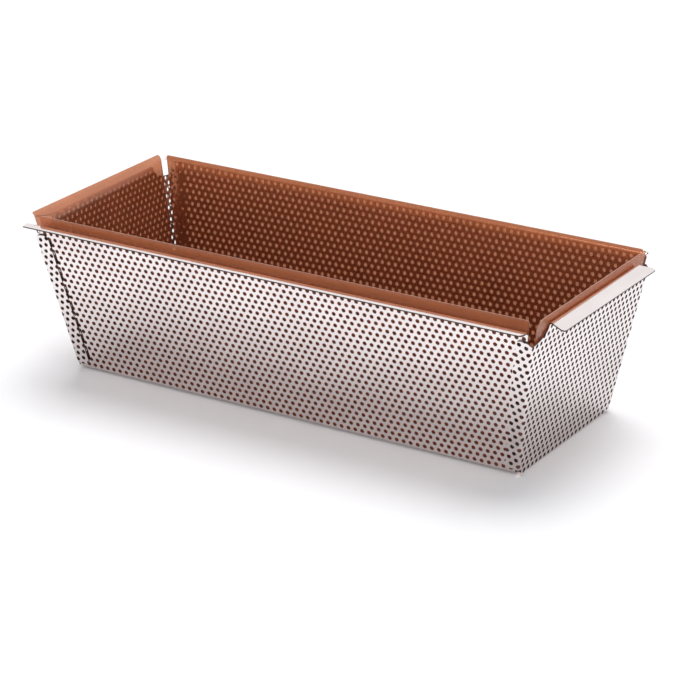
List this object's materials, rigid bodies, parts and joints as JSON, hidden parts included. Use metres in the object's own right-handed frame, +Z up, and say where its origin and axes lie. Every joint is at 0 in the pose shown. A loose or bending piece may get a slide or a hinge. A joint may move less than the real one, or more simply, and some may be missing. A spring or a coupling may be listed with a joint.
{
  "type": "perforated loaf pan",
  "caption": "Long loaf pan of perforated sheet steel with leaning walls, narrow side lips and wider end lips, and a loose coated-fabric liner that lifts out.",
  "frame": {"origin": "centre of the underside, on the surface that the pan stands on", "axes": "+X along the pan's length, towards the end plate on the right in the picture; +Y across it, away from the viewer; +Z up"},
  "size_m": [0.2724, 0.1128, 0.0751],
  "materials": {
    "perforated_steel": "bright satin",
    "coated_fabric": "smooth orange-brown non-stick coating, slightly see-through"
  },
  "bodies": {
    "pan": {"trough": "perforated_steel", "left_end_plate": "perforated_steel", "right_end_plate": "perforated_steel"},
    "liner": {"liner_floor": "coated_fabric", "liner_left_flap": "coated_fabric", "liner_right_flap": "coated_fabric"},
    "liner_front": {"liner_front_flap": "coated_fabric"},
    "liner_back": {"liner_back_flap": "coated_fabric"}
  },
  "joints": [
    {"name": "liner_lift", "type": "slide", "parent": "pan", "child": "liner", "axis": [0, 0, 1], "range_m": [0, 0.09]},
    {"name": "front_crease", "type": "hinge", "parent": "liner", "child": "liner_front", "pos_m": [0, -0.0392, 0.0025], "axis": [-1, 0, 0], "range_deg": [0, 30]},
    {"name": "back_crease", "type": "hinge", "parent": "liner", "child": "liner_back", "pos_m": [0, 0.0392, 0.0025], "axis": [1, 0, 0], "range_deg": [0, 30]}
  ]
}
